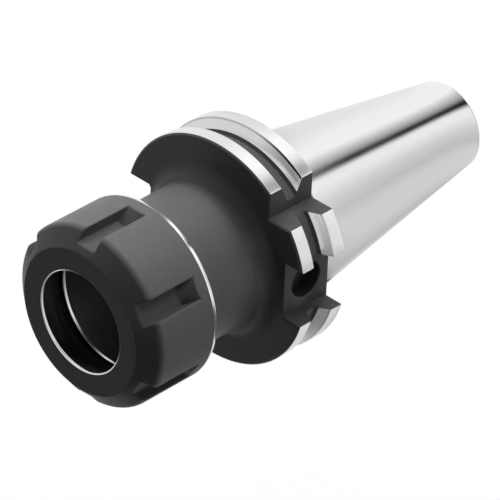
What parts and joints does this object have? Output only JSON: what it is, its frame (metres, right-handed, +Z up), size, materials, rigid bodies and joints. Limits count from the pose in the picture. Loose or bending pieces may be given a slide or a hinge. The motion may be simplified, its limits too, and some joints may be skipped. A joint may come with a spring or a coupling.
{
  "type": "collet chuck holder",
  "caption": "Machine tool holder with a steep taper shank, a grooved flange with drive slots and a slotted clamping nut over an open collet socket.",
  "frame": {"origin": "centre of the shank's small end face, on which the holder stands", "axes": "+Z runs up the axis to the clamping nut, and +X points out of the drive slot that has the chip hole"},
  "size_m": [0.0614, 0.0636, 0.1343],
  "materials": {
    "ground_steel": "fine ground bright steel, with black oxide left on the nose and flange face",
    "black_oxide_steel": "satin black oxide"
  },
  "bodies": {
    "holder": {"holder_body": "ground_steel"},
    "nut": {"clamping_nut": "black_oxide_steel"}
  },
  "joints": [
    {"name": "nut_turn", "type": "hinge", "parent": "holder", "child": "nut", "pos_m": [0, 0, 0], "axis": [0, 0, 1], "range_deg": [-345, 1770]}
  ]
}
